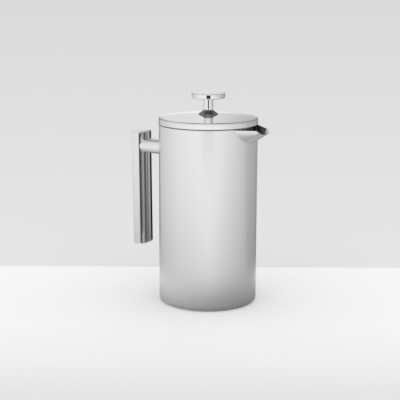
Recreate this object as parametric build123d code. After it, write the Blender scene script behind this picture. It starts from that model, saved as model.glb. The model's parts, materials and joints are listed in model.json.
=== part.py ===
from build123d import *
import os
from math import atan2, cos, degrees, pi, sin, sqrt

# A double-walled stainless steel coffee press with a plunger, a lift-off lid, a welded spout and
# a welded tube handle. Millimetres. The origin is the centre of the base on the vessel's axis,
# +Z is up, the spout points along +X and the handle along -X.

# Vessel
BODY_R = 52.0           # outside of the outer shell
SHELL_SHEET = 1.0       # outer shell and base sheet
VESSEL_R = 47.0         # bore of the inner vessel
VESSEL_SHEET = 0.8
RIM_Z = 190.6           # top of the rolled rim
RIM_CHAMFER = 0.3
VESSEL_FLOOR_Z = 8.8    # inside floor of the vessel
BASE_EDGE_R = 4.0       # rounding of the shell's bottom corner
FLOOR_CORNER_R = 6.0
BASE_OPENING_R = 46.0   # hole in the shell's bottom that the base plate closes
FLARE_START_Z = 186.7   # where the vessel wall turns out towards the rim
SEAM = 0.1              # hairline between the shell's bottom lip and the base plate
BASE_FLANGE = 1.5       # how far the base plate's rim laps over the shell's lip

# Spout: a scoop of sheet with rounded sections that narrows outwards and is cut off in a curve
SPOUT_SHEET = 0.9
KEEL_FOOT_Z = 173.4     # where the keel leaves the shell
KEEL_SLOPE = 0.62       # rise of the keel per millimetre outwards
ROOT_X = 40.0           # first section, inside the vessel
SHOULDER_X = 63.0       # the sides narrow up to here and then run parallel
TIP_X = 68.0            # last section, beyond the curved front edge
SHOULDER_HALF_WIDTH = 11.8
SIDE_TAPER = 0.81       # half width lost per millimetre outwards
SHOULDER_TOP_Z = 188.4  # top edge at the shoulder
TOP_EDGE_FALL = 0.06    # fall of the top edge per millimetre outwards
ROOT_ROUNDNESS = 0.45   # section shape at the root, 0 is a parabola and 1 is half an ellipse
FRONT_MIDDLE = (66.3, 185.3)
FRONT_FOOT = (67.3, 181.5)

# Handle: a flat oval arm and a rounded rectangular grip, both tube
ARM_Z = 161.3
ARM_WIDTH = 23.4
ARM_HEIGHT = 15.0
GRIP_WIDTH = 24.0
GRIP_SIDE_DEPTH = 10.0  # depth of the narrow side faces
GRIP_INNER_CROWN = 2.5  # bulge of the face towards the body
GRIP_OUTER_CROWN = 0.8
GRIP_CORNER_R = 1.8
GRIP_BOTTOM_Z = 52.0
GRIP_TOP_Z = 177.0
GRIP_BOTTOM_X = -83.0
GRIP_TOP_X = -84.4
TUBE_WALL = 1.2
CAP_THICKNESS = 1.5
BACKING_HALF_ANGLE = 17.0
BACKING_SHEET = 1.4

# Lid
LID_R = 52.3
LID_BOTTOM_Z = 190.9    # 0.3 above the rim
LID_TOP_Z = 200.4       # crown of the dome
LID_RISE = 3.3          # height of the dome
LID_EDGE_R = 2.0
LID_SHEET = 1.0
PAN_SHEET = 0.8
SKIRT_R = 46.5          # outside of the skirt that enters the vessel
SKIRT_BOTTOM_Z = 178.0
SLOT_COUNT = 13
SLOT_WIDTH = 2.0
SLOT_PITCH_DEG = 4.4
SLOT_BOTTOM_Z = 179.5
SLOT_TOP_Z = 188.5

# Guide collar, bush, clip and wiper ring in the middle of the lid
COLLAR_R = 10.1
COLLAR_TOP_R = 5.0
COLLAR_TOP_Z = 204.8
SHANK_R = 7.0
SHANK_BOTTOM_Z = 186.5
COLLAR_BORE_R = 4.6
BORE_SHOULDER_Z = 203.4
ROD_HOLE_R = 2.8
WASHER_R = 11.0
WASHER_THICKNESS = 0.8
NUT_ACROSS_FLATS = 18.0
NUT_HEIGHT = 3.0
BUSH_R = 4.55
BUSH_BOTTOM_Z = 185.0
BUSH_FLANGE_R = 6.2
BUSH_FLANGE_TOP_Z = 186.2
BUSH_TOP_Z = 203.1
CLIP_Z = 200.4
CLIP_HEIGHT = 0.8
CLIP_R = 5.0
CLIP_GROOVE_R = 3.9
CLIP_RECESS_R = 5.2
CLIP_GAP = 2.0
WIPER_Z = 188.75
WIPER_SECTION_R = 0.75
WIPER_CENTRE_R = 3.32
WIPER_GROOVE_R = 4.2
WIPER_GROOVE_HEIGHT = 1.7

# Plunger
ROD_R = 2.5
RUNNING_GAP = 0.05      # radial clearance of the rod in its bush and of parts on the rod
ROD_BOTTOM_Z = 19.5
ROD_TOP_Z = 220.5
KNOB_R = 17.5
KNOB_TOP_Z = 222.7
KNOB_HEIGHT = 5.4
KNOB_EDGE_R = 0.9
STEM_R = 5.0
STEM_BOTTOM_Z = 205.1   # 0.3 above the collar
FILTER_R = 46.6         # 0.4 inside the vessel bore
SCREEN_Z = 21.2
SCREEN_SHEET = 0.4
SCREEN_LIP_Z = 24.6
CROSS_PLATE_R = 42.0
CROSS_PLATE_SHEET = 1.0
SPRING_SECTION_R = 2.1
SPRING_Z = 23.8
SPRING_PLATE_EDGE_Z = 23.4
SPRING_PLATE_HUB_Z = 25.2
SPRING_PLATE_HUB_R = 9.0
SPRING_PLATE_SHEET = 0.8
HUB_BOSS_R = 5.0
HUB_FLANGE_R = 9.0
HUB_FLANGE_HEIGHT = 1.5
LOCK_NUT_ACROSS_FLATS = 9.0
LOCK_NUT_HEIGHT = 3.5
CROSS_HOLE_R = 3.2
CROSS_HOLE_RINGS = ((13.0, 6), (23.0, 12), (34.0, 18))
SPRING_HOLE_R = 2.6
SPRING_HOLE_RINGS = ((17.0, 8), (27.0, 12), (36.0, 16))

SPRING_CENTRE_R = FILTER_R - SCREEN_SHEET - 0.1 - SPRING_SECTION_R
FAR = 300.0             # longer than the whole object, for cutting tools


def turned(*points):
    """Revolve a closed outline of (radius, height) points about the vessel's axis."""
    outline = Polyline([(r, 0, z) for r, z in points], close=True)
    return revolve(make_face(outline), Axis.Z)


def tube(outer_r, inner_r, bottom_z, top_z):
    return turned((inner_r, bottom_z), (outer_r, bottom_z), (outer_r, top_z), (inner_r, top_z))


def rod(radius, bottom_z, top_z, x=0.0, y=0.0):
    cylinder = Cylinder(radius, top_z - bottom_z, align=(Align.CENTER, Align.CENTER, Align.MIN))
    return Pos(x, y, bottom_z) * cylinder


def round_ring(solid, edge_r, edge_z, radius):
    """Fillet the circular edges of one radius at one height."""
    rings = [
        edge
        for edge in solid.edges().filter_by(GeomType.CIRCLE)
        if abs(edge.radius - edge_r) < 0.01 and abs(edge.arc_center.Z - edge_z) < 0.01
    ]
    return fillet(rings, radius)


def hole_rings(hole_r, rings, bottom_z, top_z):
    """Upright drills in concentric rings of (radius, count)."""
    drills = []
    for ring_r, count in rings:
        for step in range(count):
            drills.append(Rot(0, 0, 360 * step / count) * rod(hole_r, bottom_z, top_z, x=ring_r))
    return drills


def hex_nut(across_flats, bore_r, bottom_z, height):
    prism = extrude(RegularPolygon(across_flats / 2, 6, major_radius=False), height)
    bevel = turned(
        (0, bottom_z - 1),
        (across_flats * 0.545, bottom_z - 1),
        (across_flats * 0.545, bottom_z + height - 0.4),
        (across_flats * 0.545 - 1.2, bottom_z + height + 0.2),
        (0, bottom_z + height + 0.2),
    )
    return (Pos(0, 0, bottom_z) * prism & bevel) - rod(bore_r, bottom_z - 1, bottom_z + height + 1)


# Spout sheet sections ------------------------------------------------------------------------

def sheet_curve(x, offset):
    """Points across the scoop's outer face at x, moved inwards by offset along the normal."""
    taper = max(0.0, SHOULDER_X - x)
    half_width = SHOULDER_HALF_WIDTH + SIDE_TAPER * taper
    keel_z = KEEL_FOOT_Z + KEEL_SLOPE * (x - BODY_R)
    height = SHOULDER_TOP_Z + TOP_EDGE_FALL * taper - keel_z
    roundness = 1 - (1 - ROOT_ROUNDNESS) * taper / (SHOULDER_X - ROOT_X)
    points = []
    for step in range(-5, 6):
        angle = step / 5 * pi / 2
        y = half_width * sin(angle)
        bowl = (1 - roundness) * sin(angle) ** 2 + roundness * (1 - cos(angle))
        across = half_width * cos(angle)
        up = height * ((1 - roundness) * sin(2 * angle) + roundness * sin(angle))
        length = sqrt(across ** 2 + up ** 2)
        points.append((x, y - offset * up / length, keel_z + height * bowl + offset * across / length))
    return points


def sheet_section(x):
    outer = sheet_curve(x, 0.0)
    inner = sheet_curve(x, SPOUT_SHEET)
    edges = [Spline(outer), Line(outer[-1], inner[-1]), Spline(inner[::-1]), Line(inner[0], outer[0])]
    return make_face(edges)


def notch_section(x):
    """Everything above the scoop's outer face, to cut the spout's opening out of the walls."""
    outer = sheet_curve(x, 0.0)
    left = (x, outer[0][1], RIM_Z + 5)
    right = (x, outer[-1][1], RIM_Z + 5)
    return make_face([Spline(outer), Line(outer[-1], right), Line(right, left), Line(left, outer[0])])


def notch():
    return loft([notch_section(ROOT_X), notch_section(SHOULDER_X)], ruled=True)


def beyond_front_edge():
    """Everything in front of the curved edge from the shoulders down to the keel's end."""
    shoulder = (SHOULDER_X, SHOULDER_TOP_Z)
    corners = [
        FRONT_FOOT,
        (FRONT_FOOT[0], KEEL_FOOT_Z),
        (TIP_X + 5, KEEL_FOOT_Z),
        (TIP_X + 5, RIM_Z),
        (SHOULDER_X, RIM_Z),
        shoulder,
    ]
    edge = ThreePointArc(*[(x, 0, z) for x, z in (shoulder, FRONT_MIDDLE, FRONT_FOOT)])
    rest = Polyline([(x, 0, z) for x, z in corners])
    side_view = make_face([*edge.edges(), *rest.edges()])
    return extrude(side_view, amount=BODY_R, both=True)


# Carafe --------------------------------------------------------------------------------------

def outer_shell():
    inside_r = BODY_R - SHELL_SHEET
    top_z = RIM_Z - VESSEL_SHEET
    shell = turned(
        (BASE_OPENING_R, 0),
        (BODY_R, 0),
        (BODY_R, top_z),
        (inside_r, top_z),
        (inside_r, SHELL_SHEET),
        (BASE_OPENING_R, SHELL_SHEET),
    )
    shell = round_ring(shell, BODY_R, 0, BASE_EDGE_R)
    shell = round_ring(shell, inside_r, SHELL_SHEET, BASE_EDGE_R - SHELL_SHEET)
    return shell - notch()


def inner_vessel():
    wall_r = VESSEL_R + VESSEL_SHEET
    flare = RIM_Z - FLARE_START_Z - VESSEL_SHEET
    vessel = turned(
        (0, VESSEL_FLOOR_Z - VESSEL_SHEET),
        (wall_r, VESSEL_FLOOR_Z - VESSEL_SHEET),
        (wall_r, FLARE_START_Z),
        (wall_r + flare, RIM_Z - VESSEL_SHEET),
        (BODY_R, RIM_Z - VESSEL_SHEET),
        (BODY_R, RIM_Z - RIM_CHAMFER),
        (BODY_R - RIM_CHAMFER, RIM_Z),
        (VESSEL_R + flare + 0.5, RIM_Z),
        (VESSEL_R, FLARE_START_Z + 0.3),
        (VESSEL_R, VESSEL_FLOOR_Z),
        (0, VESSEL_FLOOR_Z),
    )
    vessel = round_ring(vessel, wall_r, VESSEL_FLOOR_Z - VESSEL_SHEET, FLOOR_CORNER_R)
    vessel = round_ring(vessel, VESSEL_R, VESSEL_FLOOR_Z, FLOOR_CORNER_R - VESSEL_SHEET)
    return vessel - notch()


def base_plate():
    edge_r = BASE_OPENING_R - SEAM
    flange_r = BASE_OPENING_R + BASE_FLANGE
    plate = turned(
        (0, 0),
        (edge_r, 0),
        (edge_r, SHELL_SHEET),
        (flange_r, SHELL_SHEET),
        (flange_r, 2 * SHELL_SHEET),
        (edge_r - SHELL_SHEET, 2 * SHELL_SHEET),
        (edge_r - SHELL_SHEET, SHELL_SHEET),
        (0, SHELL_SHEET),
    )
    return round_ring(plate, edge_r, 0, 0.4)


def spout():
    wall = loft([sheet_section(ROOT_X), sheet_section(SHOULDER_X)], ruled=True)
    lip = loft([sheet_section(SHOULDER_X), sheet_section(TIP_X)], ruled=True)
    return wall + lip - beyond_front_edge() - rod(VESSEL_R, 150, FAR)


def arm_outline(width, height):
    return Plane.YZ * SlotOverall(width, height)


def grip_frame():
    """Frame at the grip's bottom end whose Z runs up the slightly leaning grip."""
    lean = degrees(atan2(GRIP_TOP_X - GRIP_BOTTOM_X, GRIP_TOP_Z - GRIP_BOTTOM_Z))
    return Pos(GRIP_BOTTOM_X, 0, GRIP_BOTTOM_Z) * Rot(0, lean, 0)


def grip_outline(inset):
    """Rounded rectangle whose wide faces bulge, more towards the body than away from it."""
    x = GRIP_SIDE_DEPTH / 2 - inset
    y = GRIP_WIDTH / 2 - inset
    edges = [
        ThreePointArc((x, -y), (x + GRIP_INNER_CROWN, 0), (x, y)),
        Line((x, y), (-x, y)),
        ThreePointArc((-x, y), (-x - GRIP_OUTER_CROWN, 0), (-x, -y)),
        Line((-x, -y), (x, -y)),
    ]
    face = make_face(edges)
    return fillet(face.vertices(), GRIP_CORNER_R - inset)


def grip_prism(inset, bottom, top):
    return grip_frame() * Pos(0, 0, bottom) * extrude(grip_outline(inset), top - bottom)


def handle_arm():
    length = BODY_R - GRIP_TOP_X
    solid = Pos(-length, 0, ARM_Z) * extrude(arm_outline(ARM_WIDTH, ARM_HEIGHT), length)
    bore = extrude(arm_outline(ARM_WIDTH - 2 * TUBE_WALL, ARM_HEIGHT - 2 * TUBE_WALL), length)
    arm = solid - Pos(-length, 0, ARM_Z) * bore
    arm = arm - rod(BODY_R, 0, FAR) - grip_prism(0, -50, FAR)
    return arm.solids().filter_by(lambda piece: piece.center().X > GRIP_TOP_X)[0]


def grip_length():
    return sqrt((GRIP_TOP_Z - GRIP_BOTTOM_Z) ** 2 + (GRIP_TOP_X - GRIP_BOTTOM_X) ** 2)


def handle_grip():
    ends = CAP_THICKNESS
    outside = grip_prism(0, ends, grip_length() - ends)
    return outside - grip_prism(TUBE_WALL, 0, grip_length())


def grip_cap(bottom, outer_end):
    cap = grip_prism(0, bottom, bottom + CAP_THICKNESS)
    rim = cap.faces().sort_by(Axis.Z)[outer_end].edges()
    return fillet(rim, 0.5)


def grip_top_cap():
    return grip_cap(grip_length() - CAP_THICKNESS, -1)


def grip_bottom_cap():
    return grip_cap(0, 0)


def handle_backing():
    """Curved plate welded inside the outer shell behind the arm."""
    outer_r = BODY_R - SHELL_SHEET - RUNNING_GAP
    ring = tube(outer_r, outer_r - BACKING_SHEET, ARM_Z - 12, ARM_Z + 12)
    half_width = outer_r * 0.29
    window = Pos(-BODY_R, 0, ARM_Z) * Box(BODY_R, 2 * half_width, 40)
    return ring & window


# Lid -----------------------------------------------------------------------------------------

def domed_disc(radius, bottom_z, crown_z, edge_r):
    """Disc with a gently domed top and a rounded top edge."""
    dome_r = (LID_R ** 2 + LID_RISE ** 2) / (2 * LID_RISE)

    def dome_z(r):
        return crown_z - dome_r + sqrt(dome_r ** 2 - r ** 2)

    top = ThreePointArc((radius, 0, dome_z(radius)), (radius / 2, 0, dome_z(radius / 2)), (0, 0, crown_z))
    rest = Polyline((0, 0, crown_z), (0, 0, bottom_z), (radius, 0, bottom_z), (radius, 0, dome_z(radius)))
    disc = revolve(make_face([*top.edges(), *rest.edges()]), Axis.Z)
    return round_ring(disc, radius, dome_z(radius), edge_r)


def lid_cover():
    outside = domed_disc(LID_R, LID_BOTTOM_Z, LID_TOP_Z, LID_EDGE_R)
    inside_edge_r = LID_EDGE_R - LID_SHEET
    inside = domed_disc(LID_R - LID_SHEET, LID_BOTTOM_Z - 1, LID_TOP_Z - LID_SHEET, inside_edge_r)
    return outside - inside - rod(SHANK_R + RUNNING_GAP, 0, FAR)


def pour_slots():
    slots = []
    for step in range(SLOT_COUNT):
        angle = (step - (SLOT_COUNT - 1) / 2) * SLOT_PITCH_DEG
        height = SLOT_TOP_Z - SLOT_BOTTOM_Z
        slot = Plane.YZ * SlotOverall(height, SLOT_WIDTH, rotation=90)
        cutter = Pos(SKIRT_R - 3, 0, SLOT_BOTTOM_Z + height / 2) * extrude(slot, 6)
        slots.append(Rot(0, 0, angle) * cutter)
    return slots


def lid_pan():
    edge_r = LID_R - LID_SHEET - RUNNING_GAP
    bore_r = SHANK_R + RUNNING_GAP
    top_z = LID_BOTTOM_Z + PAN_SHEET
    pan = turned(
        (bore_r, LID_BOTTOM_Z),
        (SKIRT_R - PAN_SHEET, LID_BOTTOM_Z),
        (SKIRT_R - PAN_SHEET, SKIRT_BOTTOM_Z),
        (SKIRT_R, SKIRT_BOTTOM_Z),
        (SKIRT_R, LID_BOTTOM_Z),
        (edge_r, LID_BOTTOM_Z),
        (edge_r, top_z),
        (bore_r, top_z),
    )
    return pan - pour_slots()


def guide_collar():
    bore_shoulder = BORE_SHOULDER_Z
    collar = turned(
        (0, SHANK_BOTTOM_Z),
        (SHANK_R, SHANK_BOTTOM_Z),
        (SHANK_R, LID_TOP_Z),
        (COLLAR_R, LID_TOP_Z),
        (COLLAR_R, LID_TOP_Z + 0.5),
        (COLLAR_TOP_R, COLLAR_TOP_Z),
        (0, COLLAR_TOP_Z),
    )
    collar = collar - rod(COLLAR_BORE_R, SHANK_BOTTOM_Z - 1, bore_shoulder)
    collar = collar - rod(CLIP_RECESS_R, CLIP_Z - 0.4, CLIP_Z + CLIP_HEIGHT + 0.4)
    return collar - rod(ROD_HOLE_R, SHANK_BOTTOM_Z, COLLAR_TOP_Z + 1)


def collar_washer():
    return tube(WASHER_R, SHANK_R + RUNNING_GAP, LID_BOTTOM_Z - WASHER_THICKNESS, LID_BOTTOM_Z)


def collar_nut():
    bottom_z = LID_BOTTOM_Z - WASHER_THICKNESS - NUT_HEIGHT
    return hex_nut(NUT_ACROSS_FLATS, SHANK_R + RUNNING_GAP, bottom_z, NUT_HEIGHT)


# Rod guide -----------------------------------------------------------------------------------

def guide_bush():
    bore_r = ROD_R + RUNNING_GAP
    bush = turned(
        (bore_r, BUSH_BOTTOM_Z),
        (BUSH_FLANGE_R, BUSH_BOTTOM_Z),
        (BUSH_FLANGE_R, BUSH_FLANGE_TOP_Z),
        (BUSH_R, BUSH_FLANGE_TOP_Z),
        (BUSH_R, BUSH_TOP_Z),
        (bore_r, BUSH_TOP_Z),
    )
    groove_bottom = WIPER_Z - WIPER_GROOVE_HEIGHT / 2
    bush = bush - rod(WIPER_GROOVE_R, groove_bottom, groove_bottom + WIPER_GROOVE_HEIGHT)
    return bush - tube(BUSH_R + 1, CLIP_GROOVE_R, CLIP_Z, CLIP_Z + CLIP_HEIGHT)


def bush_clip():
    """Split ring that snaps into the bush's groove."""
    ring = tube(CLIP_R, CLIP_GROOVE_R, CLIP_Z, CLIP_Z + CLIP_HEIGHT)
    return ring - Pos(CLIP_R, 0, CLIP_Z) * Box(CLIP_R, CLIP_GAP, 4)


def wiper_ring():
    return Pos(0, 0, WIPER_Z) * Torus(WIPER_CENTRE_R, WIPER_SECTION_R)


# Plunger -------------------------------------------------------------------------------------

def knob_disc():
    bottom_z = KNOB_TOP_Z - KNOB_HEIGHT
    disc = rod(KNOB_R, bottom_z, KNOB_TOP_Z)
    disc = round_ring(disc, KNOB_R, KNOB_TOP_Z, KNOB_EDGE_R)
    disc = round_ring(disc, KNOB_R, bottom_z, KNOB_EDGE_R)
    return disc - rod(ROD_R + RUNNING_GAP, bottom_z - 1, ROD_TOP_Z + 0.2)


def knob_stem():
    stem = tube(STEM_R, ROD_R + RUNNING_GAP, STEM_BOTTOM_Z, KNOB_TOP_Z - KNOB_HEIGHT)
    return round_ring(stem, STEM_R, STEM_BOTTOM_Z, 0.4)


def plunger_rod():
    return rod(ROD_R, ROD_BOTTOM_Z, ROD_TOP_Z)


def spring_plate():
    edge_r = SPRING_CENTRE_R - SPRING_SECTION_R - 0.1
    bottom = SPRING_PLATE_EDGE_Z
    hub = SPRING_PLATE_HUB_Z
    sheet = SPRING_PLATE_SHEET
    bore_r = ROD_R + RUNNING_GAP
    plate = turned(
        (bore_r, hub),
        (SPRING_PLATE_HUB_R, hub),
        (edge_r - 2, bottom),
        (edge_r, bottom),
        (edge_r, bottom + sheet),
        (edge_r - 2, bottom + sheet),
        (SPRING_PLATE_HUB_R, hub + sheet),
        (bore_r, hub + sheet),
    )
    return plate - hole_rings(SPRING_HOLE_R, SPRING_HOLE_RINGS, bottom - 2, hub + 3)


def edge_spring():
    """Envelope of the coil spring that runs round the spring plate's edge."""
    return Pos(0, 0, SPRING_Z) * Torus(SPRING_CENTRE_R, SPRING_SECTION_R)


def filter_screen():
    top_z = SCREEN_Z + SCREEN_SHEET
    bore_r = HUB_BOSS_R + RUNNING_GAP
    return turned(
        (bore_r, SCREEN_Z),
        (FILTER_R, SCREEN_Z),
        (FILTER_R, SCREEN_LIP_Z),
        (FILTER_R - SCREEN_SHEET, SCREEN_LIP_Z),
        (FILTER_R - SCREEN_SHEET, top_z),
        (bore_r, top_z),
    )


def cross_plate():
    bottom_z = SCREEN_Z - CROSS_PLATE_SHEET
    plate = tube(CROSS_PLATE_R, HUB_BOSS_R + RUNNING_GAP, bottom_z, SCREEN_Z)
    return plate - hole_rings(CROSS_HOLE_R, CROSS_HOLE_RINGS, bottom_z - 1, SCREEN_Z + 1)


def hub_nut():
    flange_top = SCREEN_Z - CROSS_PLATE_SHEET
    flange = rod(HUB_FLANGE_R, flange_top - HUB_FLANGE_HEIGHT, flange_top)
    boss = rod(HUB_BOSS_R, flange_top, SPRING_PLATE_HUB_Z)
    return flange + boss - rod(ROD_R + RUNNING_GAP, ROD_BOTTOM_Z - 0.2, FAR)


def rod_lock_nut():
    bottom_z = SPRING_PLATE_HUB_Z + SPRING_PLATE_SHEET
    return hex_nut(LOCK_NUT_ACROSS_FLATS, ROD_R + RUNNING_GAP, bottom_z, LOCK_NUT_HEIGHT)


PIECES = (
    outer_shell,
    inner_vessel,
    base_plate,
    spout,
    handle_arm,
    handle_grip,
    grip_top_cap,
    grip_bottom_cap,
    handle_backing,
    lid_cover,
    lid_pan,
    guide_collar,
    collar_washer,
    collar_nut,
    guide_bush,
    bush_clip,
    wiper_ring,
    knob_disc,
    knob_stem,
    plunger_rod,
    rod_lock_nut,
    spring_plate,
    edge_spring,
    filter_screen,
    cross_plate,
    hub_nut,
)

os.makedirs("parts", exist_ok=True)
for piece in PIECES:
    export_step(piece(), f"parts/{piece.__name__}.step")
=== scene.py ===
import json
from math import cos, pi, radians, sin

import bmesh
import bpy
from mathutils import Matrix, Vector


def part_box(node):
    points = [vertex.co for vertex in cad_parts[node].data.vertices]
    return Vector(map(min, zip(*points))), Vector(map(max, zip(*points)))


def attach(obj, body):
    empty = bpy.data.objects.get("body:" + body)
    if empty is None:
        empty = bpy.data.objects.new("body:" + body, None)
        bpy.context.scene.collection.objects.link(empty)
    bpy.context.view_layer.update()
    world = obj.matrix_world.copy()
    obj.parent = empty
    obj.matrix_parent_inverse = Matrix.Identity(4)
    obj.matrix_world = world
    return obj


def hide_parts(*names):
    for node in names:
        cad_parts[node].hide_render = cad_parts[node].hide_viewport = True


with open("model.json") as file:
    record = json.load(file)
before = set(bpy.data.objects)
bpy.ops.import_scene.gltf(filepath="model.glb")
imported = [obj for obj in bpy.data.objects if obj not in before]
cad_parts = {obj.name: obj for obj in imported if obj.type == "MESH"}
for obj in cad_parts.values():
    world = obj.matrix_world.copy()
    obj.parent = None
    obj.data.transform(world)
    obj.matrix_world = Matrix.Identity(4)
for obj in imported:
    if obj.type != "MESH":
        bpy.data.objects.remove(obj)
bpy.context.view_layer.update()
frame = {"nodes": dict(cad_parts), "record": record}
NODES = frame["nodes"]

# Camera: distance from the press's axis, height, and the small aim that the framing needs
CAMERA_DISTANCE = 1.103
CAMERA_HEIGHT = 0.3399
CAMERA_AZIMUTH = 30.0
CAMERA_PITCH = 11.86
CAMERA_YAW = 0.442
CAMERA_ROLL = 0.181
CAMERA_LENS = 95.1

# Stage, by distance behind the press as the camera looks
BACKDROP_LINE = 0.123       # where the floor meets the backdrop
FLOOR_RADIUS = 30.0
BACKDROP_BLEND = 0.002
FLOOR_FRONT = -0.27         # where the floor's tones begin
FLOOR_DEPTH = 0.40
# the floor darker towards the camera is painted light falloff
FLOOR_TONES_WITH_PAINTED_FALLOFF = ((0.0, 0.80), (0.20, 0.89), (0.43, 0.945), (0.68, 0.95))   # share of that depth and tone
# the backdrop's fall from its near tone to its far tone is painted light falloff
BACKDROP_NEAR_TONE = 0.81
BACKDROP_FAR_TONE = 0.695
SKY_TONE = 0.70

# The studio as the metal reflects it. Bearings are degrees round the press: 0 is the camera's side,
# 90 its right and -90 its left.
ROOM = (
    (-180, 0.94),
    (-176, 0.90),
    (-170, 0.40),
    (-152, 0.34),
    (-142, 0.62),
    (-120, 0.69),
    (-95, 0.77),
    (-68, 0.86),
    (-42, 0.89),
    (-18, 0.94),
    (0, 0.99),
    (18, 0.92),
    (29, 0.86),
    (50, 0.77),
    (67, 0.70),
    (92, 0.58),
    (103, 0.46),
    (113, 0.48),
    (122, 0.40),
    (130, 0.46),
    (143, 0.34),
    (153, 0.34),
    (159, 0.40),
    (166, 0.22),
    (175, 0.56),
    (180, 0.94),
)
# the same for the part of the table close to the press
NEAR_ROOM = (
    (-180, 0.72),
    (-165, 0.55),
    (-142, 0.86),
    (-120, 1.02),
    (-95, 0.97),
    (-69, 0.89),
    (-42, 0.76),
    (-18, 0.65),
    (15, 0.54),
    (50, 0.49),
    (69, 0.53),
    (106, 0.64),
    (134, 0.84),
    (159, 0.90),
    (180, 0.88),
)
# height above the horizon, from 0 straight down to 1 straight up
HEIGHTS = ((0.0, 0.6), (0.5, 1.0), (0.55, 0.82), (0.7, 0.86), (1.0, 0.95))
# the table as the metal reflects it, darker close to the press as painted shade: distance from the
# press in metres and brightness
TABLE = (
    (0.055, 0.42),
    (0.118, 0.69),
    (0.177, 0.76),
    (0.237, 0.77),
    (0.334, 0.83),
    (0.58, 0.93),
    (1.1, 1.0),
)
TABLE_SCALE = 0.3           # distance that falls in the middle of the ramp
NEAR_REACH = (0.10, 0.20)   # where NEAR_ROOM gives way to ROOM
# dark gap between the lights overhead, a little behind the press
GAP_ELEVATION = 78.0
GAP_COSINES = ((0.84, 1.0), (0.92, 0.22))
# a painted reflection of a dark stand on the camera's side, set into the floor's glow: half its width
# in degrees, its middle's distance, half its depth
STAND_HALF_WIDTH = 14
STAND_SOFTNESS = 2
STAND_DISTANCE = 2.09
STAND_REACH = 0.52
STAND_TONE = 0.0

# Painted reflections along the grip's inner face, dark and light lines that stand in for the body and
# room it mirrors: share of its width and tone
GRIP_HALF_WIDTH = 0.012
GRIP_PAINTED_REFLECTIONS = (
    (0.0, 0.10),
    (0.05, 0.12),
    (0.08, 1.0),
    (0.20, 1.0),
    (0.23, 0.6),
    (0.26, 0.14),
    (0.29, 0.20),
    (0.35, 0.50),
    (0.41, 0.72),
    (0.48, 0.40),
    (0.56, 1.0),
    (0.61, 1.0),
    (0.70, 1.0),
    (0.745, 0.02),
    (1.0, 0.0),
)
# the painted reflection lines show only on faces turned towards the body
INNER_FACING = (0.05, 0.35)   # how far a face turns towards the body before the lines show

# Steel: softened edges and the size and spread of faint smudges
EDGE_SOFTNESS = 0.0003
SMUDGE_SCALE = 14.0
SMUDGE_SPREAD = (0.1, 0.9)
BRUSH_RELIEF = 0.0002
STEEL_WARMTH = 0.995        # blue against red and green
SATIN_BRUSH = (1, 1, 30)
GRIP_BRUSH = (1, 1, 0.03)

# Edge spring of the filter
SPRING_WIRE = 0.00045       # half the wire's thickness
SPRING_TURNS = 150
SPRING_STEPS = 14           # points along each turn
SPRING_SIDES = 6


# Camera, stage and light ------------------------------------------------------------------------

def make_camera():
    data = bpy.data.cameras.new("camera")
    data.lens = CAMERA_LENS
    data.sensor_width = 36.0
    camera = bpy.data.objects.new("camera", data)
    bpy.context.scene.collection.objects.link(camera)
    azimuth = radians(CAMERA_AZIMUTH)
    place = Vector((sin(azimuth) * CAMERA_DISTANCE, -cos(azimuth) * CAMERA_DISTANCE, CAMERA_HEIGHT))
    turn = Matrix.Rotation(azimuth + radians(CAMERA_YAW), 4, "Z")
    tilt = Matrix.Rotation(radians(90 - CAMERA_PITCH), 4, "X")
    roll = Matrix.Rotation(radians(CAMERA_ROLL), 4, "Z")
    camera.matrix_world = Matrix.Translation(place) @ turn @ tilt @ roll
    bpy.context.scene.camera = camera
    return camera


def new_material(name):
    material = bpy.data.materials.new(name)
    material.use_nodes = True
    tree = material.node_tree
    return material, tree, tree.nodes["Principled BSDF"]


def add(tree, kind, **settings):
    """Adds a node; a setting named in_X sets input X, any other sets an attribute."""
    node = tree.nodes.new(kind)
    for key, value in settings.items():
        if key.startswith("in_"):
            name = key[3:]
            socket = node.inputs[int(name)] if name.isdigit() else node.inputs[name]
            socket.default_value = value
        else:
            setattr(node, key, value)
    return node


def ramp(tree, source, stops, interpolation="LINEAR"):
    node = add(tree, "ShaderNodeValToRGB")
    node.color_ramp.interpolation = interpolation
    elements = node.color_ramp.elements
    while len(elements) < len(stops):
        elements.new(0.5)
    for element, (place, value) in zip(elements, stops):
        element.position = place
        element.color = (value, value, value, 1)
    tree.links.new(source, node.inputs["Fac"])
    return node


def bearing_of(tree, vector):
    """Bearing of a direction as 0 to 1, where 0.5 is the camera's side."""
    to_camera = -radians(CAMERA_AZIMUTH)
    turned = add(tree, "ShaderNodeVectorRotate", rotation_type="Z_AXIS", in_Angle=to_camera)
    tree.links.new(vector, turned.inputs["Vector"])
    split = add(tree, "ShaderNodeSeparateXYZ")
    tree.links.new(turned.outputs["Vector"], split.inputs["Vector"])
    front = add(tree, "ShaderNodeMath", operation="MULTIPLY", in_1=-1.0)
    tree.links.new(split.outputs["Y"], front.inputs[0])
    angle = add(tree, "ShaderNodeMath", operation="ARCTAN2")
    tree.links.new(split.outputs["X"], angle.inputs[0])
    tree.links.new(front.outputs["Value"], angle.inputs[1])
    share = add(tree, "ShaderNodeMath", operation="MULTIPLY_ADD", in_1=0.5 / pi, in_2=0.5)
    tree.links.new(angle.outputs["Value"], share.inputs[0])
    return share.outputs["Value"], split


def between(tree, source, low, high, interpolation="LINEAR"):
    """0 at the low value, 1 at the high one."""
    node = add(tree, "ShaderNodeMapRange", interpolation_type=interpolation)
    node.inputs["From Min"].default_value = low
    node.inputs["From Max"].default_value = high
    tree.links.new(source, node.inputs["Value"])
    return node.outputs["Result"]


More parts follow.
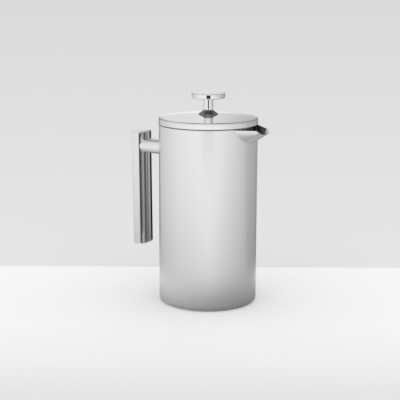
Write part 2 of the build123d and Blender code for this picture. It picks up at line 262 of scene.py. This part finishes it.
def mixed(tree, factor, first, second):
    """Mixes two colours, each an output socket, a colour or a plain tone."""
    mix = add(tree, "ShaderNodeMix", data_type="RGBA")
    tree.links.new(factor, mix.inputs["Factor"])
    for name, source in (("A", first), ("B", second)):
        if isinstance(source, (int, float)):
            mix.inputs[name].default_value = grey(source)
        elif isinstance(source, tuple):
            mix.inputs[name].default_value = source
        else:
            tree.links.new(source, mix.inputs[name])
    return mix.outputs["Result"]


def room_ramp(tree, share, room=ROOM):
    return ramp(tree, share, [((degrees + 180) / 360, tone) for degrees, tone in room])


def painted_stand_ramp(tree, share):
    """1 everywhere, and the painted stand's dark tone in its narrow sector."""
    half = STAND_HALF_WIDTH / 360
    soft = STAND_SOFTNESS / 360
    stops = (
        (0.5 - half - soft, 1.0),
        (0.5 - half + soft, STAND_TONE),
        (0.5 + half - soft, STAND_TONE),
        (0.5 + half + soft, 1.0),
    )
    return ramp(tree, share, stops)


def times(tree, first, second):
    mix = add(tree, "ShaderNodeMix", data_type="RGBA", blend_type="MULTIPLY")
    mix.inputs["Factor"].default_value = 1.0
    tree.links.new(first, mix.inputs["A"])
    tree.links.new(second, mix.inputs["B"])
    return mix.outputs["Result"]


def grey(tone):
    return (tone, tone, tone, 1)


def painted_table_reflection(tree, place):
    """Painted reflection: the floor's glow that only the metal sees, darker close to the press as
    painted shade, with a painted dark stand far off.
    """
    share = bearing_of(tree, place)[0]
    distance = add(tree, "ShaderNodeVectorMath", operation="LENGTH")
    tree.links.new(place, distance.inputs[0])
    reach = between(tree, distance.outputs["Value"], *NEAR_REACH, interpolation="SMOOTHSTEP")
    near_room = room_ramp(tree, share, NEAR_ROOM).outputs["Color"]
    room = mixed(tree, reach, near_room, room_ramp(tree, share).outputs["Color"])
    beyond = add(tree, "ShaderNodeMath", operation="ADD", in_1=TABLE_SCALE)
    tree.links.new(distance.outputs["Value"], beyond.inputs[0])
    squeezed = add(tree, "ShaderNodeMath", operation="DIVIDE")
    tree.links.new(distance.outputs["Value"], squeezed.inputs[0])
    tree.links.new(beyond.outputs["Value"], squeezed.inputs[1])
    near = ramp(tree, squeezed.outputs["Value"], [(d / (d + TABLE_SCALE), tone) for d, tone in TABLE])
    far = add(tree, "ShaderNodeMath", operation="COMPARE", in_1=STAND_DISTANCE, in_2=STAND_REACH)
    tree.links.new(distance.outputs["Value"], far.inputs[0])
    stand = mixed(tree, far.outputs["Value"], 1, painted_stand_ramp(tree, share).outputs["Color"])
    return times(tree, times(tree, room, near.outputs["Color"]), stand)


def stage_tone(tree, place):
    """White floor up to a line behind the press, darker towards the camera as painted light falloff,
    then a backdrop that dims with distance as painted light falloff.
    """
    azimuth = radians(CAMERA_AZIMUTH)
    behind = add(tree, "ShaderNodeVectorMath", operation="DOT_PRODUCT")
    behind.inputs[1].default_value = (-sin(azimuth), cos(azimuth), 0)
    tree.links.new(place, behind.inputs[0])
    edge = between(tree, behind.outputs["Value"], BACKDROP_LINE, BACKDROP_LINE + BACKDROP_BLEND)
    from_camera = add(tree, "ShaderNodeMath", operation="ADD", in_1=CAMERA_DISTANCE)
    tree.links.new(behind.outputs["Value"], from_camera.inputs[0])
    inverse = add(tree, "ShaderNodeMath", operation="DIVIDE", in_0=CAMERA_DISTANCE)
    tree.links.new(from_camera.outputs["Value"], inverse.inputs[1])
    backdrop = mixed(tree, inverse.outputs["Value"], BACKDROP_FAR_TONE, BACKDROP_NEAR_TONE)
    depth = between(tree, behind.outputs["Value"], FLOOR_FRONT, FLOOR_FRONT + FLOOR_DEPTH)
    floor = ramp(tree, depth, FLOOR_TONES_WITH_PAINTED_FALLOFF)
    return mixed(tree, edge, floor.outputs["Color"], backdrop)


def make_floor():
    bpy.ops.mesh.primitive_circle_add(vertices=128, radius=FLOOR_RADIUS, fill_type="NGON")
    floor = bpy.context.object
    floor.name = "stage_floor"
    material, tree, shader = new_material("stage_floor")
    material.cycles.emission_sampling = "NONE"
    shader.inputs["Roughness"].default_value = 1.0
    shader.inputs["Specular IOR Level"].default_value = 0.0
    place = add(tree, "ShaderNodeTexCoord").outputs["Object"]
    tree.links.new(stage_tone(tree, place), shader.inputs["Base Color"])
    # painted reflection: the metal's glossy rays see the floor as this glow, while all other rays see
    # its white tone
    glow = add(tree, "ShaderNodeEmission")
    tree.links.new(painted_table_reflection(tree, place), glow.inputs["Color"])
    path = add(tree, "ShaderNodeLightPath")
    either = add(tree, "ShaderNodeMixShader")
    tree.links.new(path.outputs["Is Glossy Ray"], either.inputs["Fac"])
    tree.links.new(shader.outputs["BSDF"], either.inputs[1])
    tree.links.new(glow.outputs["Emission"], either.inputs[2])
    tree.links.new(either.outputs["Shader"], tree.nodes["Material Output"].inputs["Surface"])
    floor.data.materials.append(material)
    return floor


def gap_overhead(tree, ray):
    """1 everywhere, dark within the gap between the lights."""
    azimuth = radians(CAMERA_AZIMUTH)
    level = cos(radians(GAP_ELEVATION))
    middle = (-sin(azimuth) * level, cos(azimuth) * level, sin(radians(GAP_ELEVATION)))
    near = add(tree, "ShaderNodeVectorMath", operation="DOT_PRODUCT")
    near.inputs[1].default_value = middle
    tree.links.new(ray, near.inputs[0])
    return ramp(tree, near.outputs["Value"], GAP_COSINES).outputs["Color"]


def make_world():
    """Even light for the floor, the studio for the metal's reflections, a plain tone for the camera."""
    world = bpy.data.worlds.new("studio")
    bpy.context.scene.world = world
    world.use_nodes = True
    tree = world.node_tree
    background = tree.nodes["Background"]
    ray = add(tree, "ShaderNodeTexCoord").outputs["Generated"]
    share, split = bearing_of(tree, ray)
    room = room_ramp(tree, share)
    level = add(tree, "ShaderNodeMath", operation="MULTIPLY_ADD", in_1=0.5, in_2=0.5)
    tree.links.new(split.outputs["Z"], level.inputs[0])
    height = ramp(tree, level.outputs["Value"], HEIGHTS)
    studio = times(tree, room.outputs["Color"], height.outputs["Color"])
    studio = times(tree, studio, gap_overhead(tree, ray))
    path = add(tree, "ShaderNodeLightPath")
    lit = mixed(tree, path.outputs["Is Glossy Ray"], 1, studio)
    seen = mixed(tree, path.outputs["Is Camera Ray"], lit, SKY_TONE)
    tree.links.new(seen, background.inputs["Color"])


# Materials --------------------------------------------------------------------------------------

def steel(name, tone, roughness, brush=(1, 1, 1), brush_scale=900, brush_depth=0.0, variation=0.04,
          smudge=0.03):
    """Stainless steel: brush lines in tone and as bump, faint smudges, softened edges."""
    material, tree, shader = new_material(name)
    shader.inputs["Metallic"].default_value = 1.0
    place = add(tree, "ShaderNodeTexCoord").outputs["Object"]
    lines = brush_lines(tree, place, brush, brush_scale)
    smudges = add(tree, "ShaderNodeTexNoise", in_Scale=SMUDGE_SCALE, in_Detail=3.0)
    tree.links.new(place, smudges.inputs["Vector"])
    rough = add(tree, "ShaderNodeMapRange")
    rough.inputs["From Min"].default_value = SMUDGE_SPREAD[0]
    rough.inputs["From Max"].default_value = SMUDGE_SPREAD[1]
    rough.inputs["To Min"].default_value = roughness - smudge
    rough.inputs["To Max"].default_value = roughness + smudge
    tree.links.new(smudges.outputs["Fac"], rough.inputs["Value"])
    tree.links.new(rough.outputs["Result"], shader.inputs["Roughness"])
    tint = mixed(tree, lines, tone * (1 - variation), (tone, tone, tone * STEEL_WARMTH, 1))
    tree.links.new(tint, shader.inputs["Base Color"])
    rounding = add(tree, "ShaderNodeBevel", samples=4, in_Radius=EDGE_SOFTNESS)
    normal = rounding.outputs["Normal"]
    if brush_depth:
        bump = add(tree, "ShaderNodeBump", in_Strength=brush_depth, in_Distance=BRUSH_RELIEF)
        tree.links.new(lines, bump.inputs["Height"])
        tree.links.new(normal, bump.inputs["Normal"])
        normal = bump.outputs["Normal"]
    tree.links.new(normal, shader.inputs["Normal"])
    return material


def brush_lines(tree, place, brush, brush_scale):
    """Noise stretched along the brush's direction."""
    stretch = add(tree, "ShaderNodeMapping", in_Scale=brush)
    tree.links.new(place, stretch.inputs["Vector"])
    lines = add(tree, "ShaderNodeTexNoise", in_Scale=brush_scale, in_Detail=4.0, in_Roughness=0.6)
    tree.links.new(stretch.outputs["Vector"], lines.inputs["Vector"])
    return lines.outputs["Fac"]


def plastic(name, tone, roughness):
    """Moulded plastic or rubber: fine texture, a little gloss."""
    material, tree, shader = new_material(name)
    shader.inputs["Specular IOR Level"].default_value = 0.4
    place = add(tree, "ShaderNodeTexCoord").outputs["Object"]
    grain = add(tree, "ShaderNodeTexNoise", in_Scale=1800.0, in_Detail=3.0)
    cloud = add(tree, "ShaderNodeTexNoise", in_Scale=60.0, in_Detail=2.0)
    tree.links.new(place, grain.inputs["Vector"])
    tree.links.new(place, cloud.inputs["Vector"])
    colour = ramp(tree, cloud.outputs["Fac"], ((0.3, tone * 0.93), (0.7, tone)))
    gloss = ramp(tree, grain.outputs["Fac"], ((0.3, roughness - 0.06), (0.7, roughness + 0.06)))
    bump = add(tree, "ShaderNodeBump", in_Strength=0.15, in_Distance=0.00005)
    tree.links.new(grain.outputs["Fac"], bump.inputs["Height"])
    tree.links.new(colour.outputs["Color"], shader.inputs["Base Color"])
    tree.links.new(gloss.outputs["Color"], shader.inputs["Roughness"])
    tree.links.new(bump.outputs["Normal"], shader.inputs["Normal"])
    return material


def paint_grip_reflections(material):
    """Painted reflections: dark and light lines along the grip's face towards the body, in its colour
    and its specular tint.
    """
    tree = material.node_tree
    shader = tree.nodes["Principled BSDF"]
    plain = shader.inputs["Base Color"].links[0].from_socket
    place = add(tree, "ShaderNodeSeparateXYZ")
    tree.links.new(add(tree, "ShaderNodeTexCoord").outputs["Object"], place.inputs["Vector"])
    across = between(tree, place.outputs["Y"], -GRIP_HALF_WIDTH, GRIP_HALF_WIDTH)
    painted_reflection_streaks = ramp(tree, across, GRIP_PAINTED_REFLECTIONS)
    facing = add(tree, "ShaderNodeSeparateXYZ")
    tree.links.new(add(tree, "ShaderNodeNewGeometry").outputs["True Normal"], facing.inputs["Vector"])
    inner = between(tree, facing.outputs["X"], *INNER_FACING, interpolation="SMOOTHSTEP")
    lines = mixed(tree, inner, 1, painted_reflection_streaks.outputs["Color"])
    tree.links.new(times(tree, plain, lines), shader.inputs["Base Color"])
    tree.links.new(lines, shader.inputs["Specular Tint"])


def woven_mesh(name, pitch, tone):
    """Woven wire mesh: crossing round wires as bump, with painted shade between them."""
    material, tree, shader = new_material(name)
    shader.inputs["Metallic"].default_value = 1.0
    place = add(tree, "ShaderNodeTexCoord").outputs["Object"]
    heights = []
    for direction in ("X", "Y"):
        wires = add(tree, "ShaderNodeTexWave", bands_direction=direction, in_Scale=0.314 / pitch)
        tree.links.new(place, wires.inputs["Vector"])
        heights.append(wires.outputs["Fac"])
    over = add(tree, "ShaderNodeMath", operation="MAXIMUM")
    tree.links.new(heights[0], over.inputs[0])
    tree.links.new(heights[1], over.inputs[1])
    # painted shade: nearly black in the gaps between the wires
    colour = ramp(tree, over.outputs["Value"], ((0.35, tone * 0.12), (0.75, tone)))
    rough = ramp(tree, over.outputs["Value"], ((0.3, 0.6), (0.9, 0.28)))
    bump = add(tree, "ShaderNodeBump", in_Strength=0.8, in_Distance=pitch / 3)
    tree.links.new(over.outputs["Value"], bump.inputs["Height"])
    tree.links.new(colour.outputs["Color"], shader.inputs["Base Color"])
    tree.links.new(rough.outputs["Color"], shader.inputs["Roughness"])
    tree.links.new(bump.outputs["Normal"], shader.inputs["Normal"])
    return material


MESH = woven_mesh("mesh_steel_look", 0.0006, 0.62)
SATIN = steel("satin_steel_look", 0.92, 0.25, brush=SATIN_BRUSH, brush_scale=60, brush_depth=0.02)
POLISHED = steel("polished_steel_look", 0.92, 0.06, brush_scale=200, variation=0.02, smudge=0.015)
BUFFED = steel("buffed_steel_look", 0.97, 0.38, brush_scale=200, variation=0.03, smudge=0.03)
GRIP = steel("grip_steel_painted_reflection_look", 0.92, 0.09, brush=GRIP_BRUSH, variation=0.12, smudge=0.02)
# painted reflections on the grip's inner face
paint_grip_reflections(GRIP)
# painted shade: steel toned down to dark grey, standing in for the dark surroundings the collar mirrors
DARK = steel("steel_toned_as_painted_shade_look", 0.32, 0.08, brush_scale=200, variation=0.10, smudge=0.02)
# painted shade: steel of the inner parts toned down for the shade that falls on them
INNER = steel("inner_steel_painted_shade_look", 0.25, 0.34, brush=SATIN_BRUSH, brush_scale=60, brush_depth=0.05)
SPRING = steel("spring_steel_look", 0.80, 0.15, brush_scale=300)
NYLON = plastic("white_plastic_look", 0.78, 0.42)
RUBBER = plastic("silicone_look", 0.62, 0.55)

LOOKS = {
    "satin_steel": SATIN,
    "polished_steel": POLISHED,
    "dark_steel": DARK,
    "inner_steel": INNER,
    "mesh_steel": MESH,
    "spring_steel": SPRING,
    "white_plastic": NYLON,
    "silicone": RUBBER,
}

# nodes whose finish differs a little from their slot's; the grip's also has painted reflection lines
SPECIAL_LOOKS = {"spout": BUFFED, "handle_arm": BUFFED, "handle_grip": GRIP}


def dress_cad_nodes():
    slots = {part["node"]: part["material_slot"] for part in frame["record"]["subparts"]}
    for name, node in NODES.items():
        node.data.materials[0] = SPECIAL_LOOKS.get(name, LOOKS[slots[name]])


# Pieces made here ---------------------------------------------------------------------------------

def smooth(obj):
    for polygon in obj.data.polygons:
        polygon.use_smooth = True


def finish_piece(obj, node, material, body):
    """Dresses a piece made here and puts it in the CAD node's place."""
    obj.data.materials.append(material)
    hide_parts(node)
    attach(obj, body)


def swept_tube(name, points, radius, sides):
    """Mesh tube along a closed line of points round the Z axis."""
    rings = []
    mesh = bmesh.new()
    count = len(points)
    for index, point in enumerate(points):
        ahead = (points[(index + 1) % count] - points[index - 1]).normalized()
        out = Vector((point.x, point.y, 0)).normalized()
        across = ahead.cross(out).normalized()
        out = across.cross(ahead)
        ring = []
        for side in range(sides):
            angle = 2 * pi * side / sides
            ring.append(mesh.verts.new(point + radius * (cos(angle) * out + sin(angle) * across)))
        rings.append(ring)
    for index, ring in enumerate(rings):
        after = rings[(index + 1) % count]
        for side in range(sides):
            beyond = (side + 1) % sides
            mesh.faces.new((ring[side], ring[beyond], after[beyond], after[side]))
    bmesh.ops.recalc_face_normals(mesh, faces=mesh.faces)
    return mesh_object(name, mesh)


def mesh_object(name, mesh):
    data = bpy.data.meshes.new(name)
    mesh.to_mesh(data)
    mesh.free()
    obj = bpy.data.objects.new(name, data)
    bpy.context.scene.collection.objects.link(obj)
    smooth(obj)
    return obj


def coil_line(low, high, wire, turns, per_turn):
    """Points of a coil bent into a ring that fills the box between two corners."""
    middle = (low + high) / 2
    coil_r = (high.z - low.z) / 2 - wire
    ring_r = (high.x - low.x) / 2 - wire - coil_r
    points = []
    for step in range(turns * per_turn):
        round_coil = 2 * pi * step / per_turn
        round_ring = 2 * pi * step / (turns * per_turn)
        reach = ring_r + coil_r * cos(round_coil)
        offset = Vector((reach * cos(round_ring), reach * sin(round_ring), coil_r * sin(round_coil)))
        points.append(middle + offset)
    return points


def make_edge_spring():
    low, high = (Vector(corner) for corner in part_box("edge_spring"))
    points = coil_line(low, high, SPRING_WIRE, SPRING_TURNS, SPRING_STEPS)
    spring = swept_tube("edge_spring_coil", points, SPRING_WIRE, SPRING_SIDES)
    finish_piece(spring, "edge_spring", SPRING, "plunger")


bpy.context.scene.view_settings.view_transform = "Standard"
make_camera()
make_floor()
make_world()
dress_cad_nodes()
make_edge_spring()
